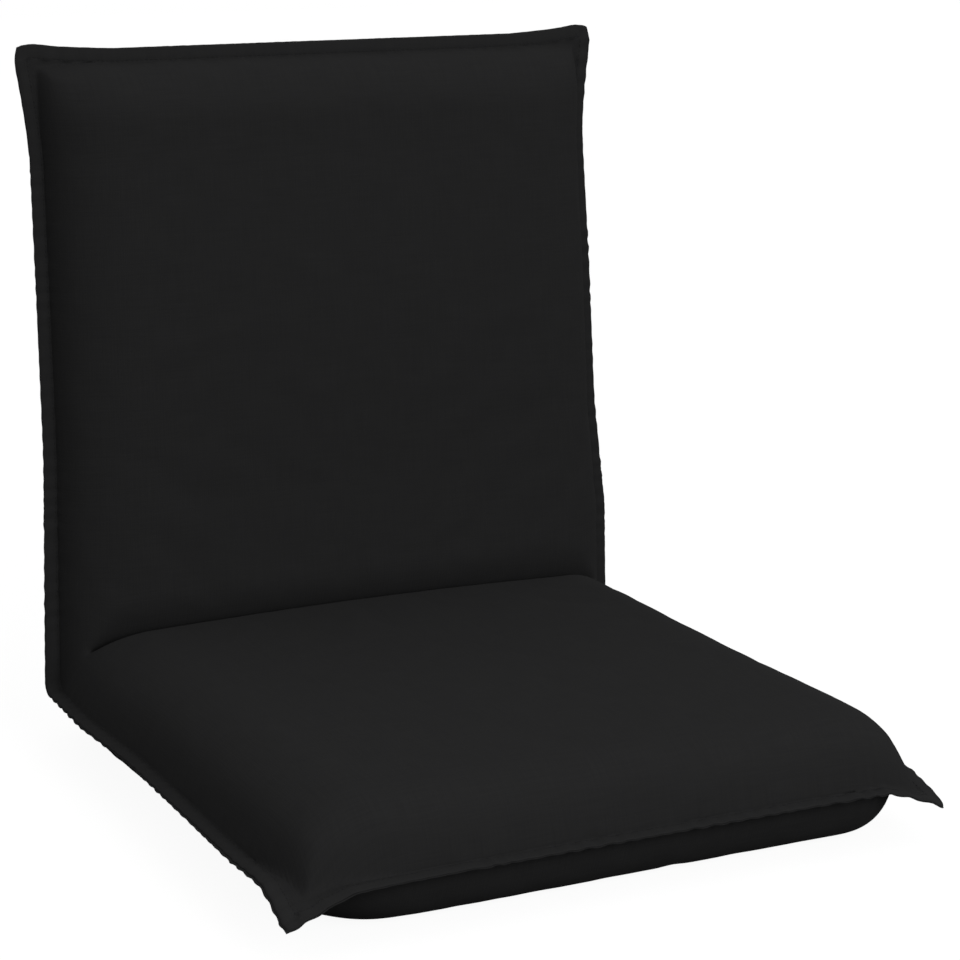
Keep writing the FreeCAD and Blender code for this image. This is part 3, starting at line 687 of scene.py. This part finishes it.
def opened_for_zip(shaped, flat):
    """The rear panel kept calm by the zip, with its hems turned in, and the cells of its slot."""
    off_zip = np.abs(all_place - zip_at)
    calm = soft((off_zip - 6.0) / 20.0)[:, None, None]
    hem = 0.7 * np.sin(np.pi * np.clip((off_zip - zip_half_slot) / 4.0, 0, 1))
    hem = hem[:, None] * soft((zip_half_length + 6 - np.abs(flat[..., 0])) / 5)
    shaped = flat + (shaped - flat) * calm
    shaped[..., 1:] -= hem[..., None] * out_of_back
    mid_row = (all_place[:-1] + all_place[1:]) / 2
    mid_x = np.abs(flat[:-1, :-1, 0] + flat[1:, 1:, 0]) / 2
    slot = (np.abs(mid_row - zip_at) < zip_half_slot)[:, None] & (mid_x < zip_half_length)
    return shaped, slot


def panel(name, face, cloth=1.0):
    """One closed sheet of the cover, that many millimetres thick, and the grid of its outer face."""
    off_floor, rim_slit = 0.4, 0.02
    flat, slot = sleeve(face), None
    settled_grid = flat + calmed(settled(flat), flat, face)
    shaped = puckered(settled_grid, face)
    if face == "rear":
        shaped[..., 2] = np.maximum(shaped[..., 2], off_floor - hinge_z)
        shaped, slot = opened_for_zip(shaped, flat)
    thick = np.where(rim_out > 0, rim_height(rim_out) - rim_slit, cloth)
    inner = shaped - normals(shaped, 1.0 if face == "front" else -1.0) * thick[..., None]
    # Painted highlight along the puffed middle of the sewn edge, strongest where the rim puffs up and
    # nothing on the pad itself.
    painted_ridge_highlight = 0.4 * np.sin(np.pi * np.clip((rim_out - 0.5) / 9.5, 0, 1)) * (rim_out > 0)
    layers = [shaped, inner, measured(flat), slot, painted_ridge_highlight]
    if face == "rear":
        layers = [layer[:, ::-1] for layer in layers]
    outer, inner, uv, slot, painted_ridge_highlight = layers
    return grid_mesh(name, finished(outer), finished(inner), uv, slot, painted_ridge_highlight), shaped


front_panel, front_skin = panel("sleeve_front_panel", "front")
rear_panel, rear_skin = panel("sleeve_rear_panel", "rear")
for piece in (front_panel, rear_panel):
    piece.data.materials.append(black_cloth)
    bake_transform(piece)
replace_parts(front_panel, "seat_cover_top", "back_cover_front")
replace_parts(rear_panel, "seat_cover_bottom", "back_cover_rear", "hinge_cover")


# Topstitching: black polyester thread, one run on each face where the sewn edge meets the pad,
# about six stitches to the inch, each one sunk a little at its ends where the needle went in.

thread_black = mottled("thread_black", (0.012, 0.012, 0.0125), low=(0.009, 0.009, 0.0095),
                       high=(0.015, 0.015, 0.0155), drift=300.0, grain=2600.0, depth=0.00005,
                       roughness=0.8, rough_low=0.72, rough_high=0.88, specular=0.05)


def add_tube(points, faces, centre, radii, aside, third, around):
    """A closed tube round a line of centres, added to the lists of points and faces."""
    first, along = len(points), len(centre)
    for k in range(along):
        for a in np.arange(around) * 2 * np.pi / around:
            points.append(centre[k] + radii[k] * (math.cos(a) * aside[k] + math.sin(a) * third[k]))
    for k in range(along - 1):
        low, high = first + k * around, first + (k + 1) * around
        for a in range(around):
            b = (a + 1) % around
            faces.append((low + a, low + b, high + b, high + a))
    faces.append(tuple(first + a for a in range(around))[::-1])
    faces.append(tuple(first + (along - 1) * around + a for a in range(around)))


def tube_piece(name, points, faces, material):
    """One smooth object from those lists."""
    mesh = bpy.data.meshes.new(name)
    mesh.from_pydata(finished(np.array(points)).tolist(), [], faces)
    mesh.polygons.foreach_set("use_smooth", np.ones(len(mesh.polygons), bool))
    mesh.materials.append(material)
    return placed(name, mesh)


def stitches(name, lines, outs, length=3.0, pitch=4.2, thread=0.26):
    """Small sunk capsules along each line of points; outs are the directions away from the cloth."""
    around, along, proud, sunk = 6, 5, 0.14, 0.02
    arch = np.sin(np.pi * np.linspace(0, 1, along))
    wide = thread * (0.35 + 0.65 * arch ** 0.6)
    points, faces = [], []
    for line, out in zip(lines, outs):
        run = run_of(line)
        for begin in np.arange(0.5, run[-1] - length, pitch):
            at = begin + length * np.linspace(0, 1, along)
            centre = np.stack([np.interp(at, run, line[:, k]) for k in range(3)], -1)
            away = np.stack([np.interp(at, run, out[:, k]) for k in range(3)], -1)
            away /= np.linalg.norm(away, axis=1, keepdims=True)
            forward = centre[-1] - centre[0]
            forward /= np.linalg.norm(forward)
            centre = centre + away * (proud * arch - sunk)[:, None]
            add_tube(points, faces, centre, wide, np.cross(forward, away), away, around)
    piece = tube_piece(name, points, faces, thread_black)
    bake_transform(piece)
    return piece


def stitch_run(skin, outward):
    """The closed line just outside the seam, on one face, and the directions out of that face."""
    n = normals(skin, outward)
    left = int(np.flatnonzero(column_out == 0)[0]) - 1
    right = len(columns) - 1 - left
    low = np.count_nonzero(row_out) - 1
    high = len(skin) - 1 - low
    up, over = slice(low, high + 1), slice(left, right + 1)
    runs = ((up, left), (up, right), (low, over), (high, over))
    return [skin[run] for run in runs], [n[run] for run in runs]


stitches("front_topstitching", *stitch_run(front_skin, 1.0))
stitches("rear_topstitching", *stitch_run(rear_skin, -1.0))


# Zip across the rear of the back: woven tape, two rows of nylon coil that mesh along the middle,
# with a slider, its pull and two crimped end stops in black enamelled zinc.

tape_cloth = mottled("zip_tape_cloth", (0.02, 0.02, 0.021), low=(0.014, 0.014, 0.015),
                     high=(0.026, 0.026, 0.027), drift=260.0, grain=1800.0, depth=0.00012,
                     roughness=0.85, rough_low=0.75, rough_high=0.92, specular=0.2)
nylon = mottled("nylon_coil", (0.018, 0.018, 0.019), low=(0.014, 0.014, 0.015),
                high=(0.024, 0.024, 0.025), drift=420.0, grain=2500.0, depth=0.00003,
                roughness=0.38, rough_low=0.3, rough_high=0.46, specular=0.5)
enamel = mottled("black_enamel", (0.03, 0.03, 0.031), low=(0.024, 0.024, 0.025),
                 high=(0.038, 0.038, 0.039), drift=160.0, grain=1400.0, depth=0.00004,
                 roughness=0.36, rough_low=0.3, rough_high=0.46, specular=0.45)
dress(tape_cloth, "zip_tape")
dress(enamel, "zip_slider", "zip_pull", "zip_end_stops")

low_corner, high_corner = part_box("zip_coil")
tooth_pitch, coil_wire, tooth_spots, wire_spots, coil_face = 1.5, 0.36, 9, 5, 43.3
turn = np.linspace(-0.15 * math.pi, 1.15 * math.pi, tooth_spots)
loop_reach = 1.15 - 1.25 * np.sin(turn) * np.where(np.sin(turn) > 0, 1, 0.2)
coil_points, coil_faces = [], []
for number in range(int((high_corner.x - low_corner.x) / MM / tooth_pitch)):
    side = 1 if number % 2 else -1
    across = low_corner.x / MM + (number + 0.5) * tooth_pitch
    loop = np.stack([across + 0.25 * np.linspace(-1, 1, tooth_spots), zip_at + side * loop_reach,
                     -coil_face - 0.95 - 0.5 * np.cos(turn)], -1)
    forward = np.gradient(loop, axis=0)
    forward /= np.linalg.norm(forward, axis=1, keepdims=True)
    aside = np.cross(forward, np.array([1.0, 0, 0]))
    aside /= np.linalg.norm(aside, axis=1, keepdims=True)
    add_tube(coil_points, coil_faces, loop, [coil_wire] * tooth_spots, aside,
             np.cross(forward, aside), wire_spots)
coil_points = np.array(coil_points)
coil_yz = coil_points[:, 1:2] * up_back + coil_points[:, 2:3] * out_of_back
coil_points = np.concatenate([coil_points[:, :1], coil_yz], axis=1)
zip_teeth = tube_piece("zip_teeth", coil_points, coil_faces, nylon)
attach(zip_teeth, "backrest")
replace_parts(zip_teeth, "zip_coil")


# Studio: a white floor that keeps the chair's shadow, a plain world, a weak broad lamp over the
# chair and a stronger soft one low in front of it, and the camera where the photograph was taken.

def seen_directly(tree):
    """1 where a surface is met by the camera or in a gloss or glass, and 0 in the light it gives."""
    rays = node(tree, "LightPath").outputs
    seen = rays["Is Camera Ray"]
    for other in ("Is Glossy Ray", "Is Transmission Ray"):
        seen = node(tree, "Math", [(0, seen), (1, rays[other])], operation="MAXIMUM").outputs["Value"]
    return seen


floor_half, below_chair = 9.0, 0.0006
floor_mesh = bpy.data.meshes.new("studio_floor")
floor_corners = [(x * floor_half, y * floor_half, 0) for x, y in ((-1, -1), (1, -1), (1, 1), (-1, 1))]
floor_mesh.from_pydata(floor_corners, [], [(0, 1, 2, 3)])
floor = placed("studio_floor", floor_mesh)
floor.location.z = -below_chair
floor_white = bpy.data.materials.new("floor_white")
floor_white.use_nodes = True
tree = floor_white.node_tree
tree.nodes.clear()
matt = node(tree, "BsdfDiffuse", [("Color", (0.09, 0.09, 0.09, 1))]).outputs["BSDF"]
glow = node(tree, "Emission", [("Color", (1, 1, 1, 1)), ("Strength", 0.93)])
both = node(tree, "AddShader", [(0, matt), (1, glow.outputs["Emission"])])
choice = node(tree, "MixShader", [(0, seen_directly(tree)), (1, matt), (2, both.outputs["Shader"])])
node(tree, "OutputMaterial", [("Surface", choice.outputs["Shader"])])
floor.data.materials.append(floor_white)

world = bpy.data.worlds.new("studio")
bpy.context.scene.world = world
world.use_nodes = True
tree = world.node_tree
tree.nodes.clear()
level = ranged(tree, seen_directly(tree), 0.0, 1.0, 0.82, 1.0)
sky = node(tree, "Background", [("Color", (1, 1, 1, 1)), ("Strength", level)])
node(tree, "OutputWorld", [("Surface", sky.outputs["Background"])])


def aimed(thing, place, aim):
    """The lamp or camera at its place, turned to look at a point."""
    thing.location = place
    thing.rotation_mode = "QUATERNION"
    thing.rotation_quaternion = (Vector(aim) - Vector(place)).to_track_quat("-Z", "Y")


def lamp(name, place, aim, size, power):
    """A round soft lamp, its size in metres and its power in watts."""
    light = bpy.data.lights.new(name, "AREA")
    light.shape, light.size, light.energy = "DISK", size, power
    aimed(placed(name, light), place, aim)


lamp("over_lamp", (0.6, -0.8, 2.3), (0.0, 0.0, 0.2), 2.0, 6.0)
lamp("front_lamp", (0.3, -2.6, 1.25), (0.0, 0.0, 0.3), 1.6, 44.0)

camera = bpy.data.cameras.new("camera")
camera.sensor_width, camera.lens = 36.0, 104.64
eye = placed("camera", camera)
bpy.context.scene.camera = eye
aimed(eye, (-0.9508, -1.9251, 0.7513), (0.13883, 0.23262, 0.18402))
bpy.context.scene.view_settings.view_transform = "Standard"
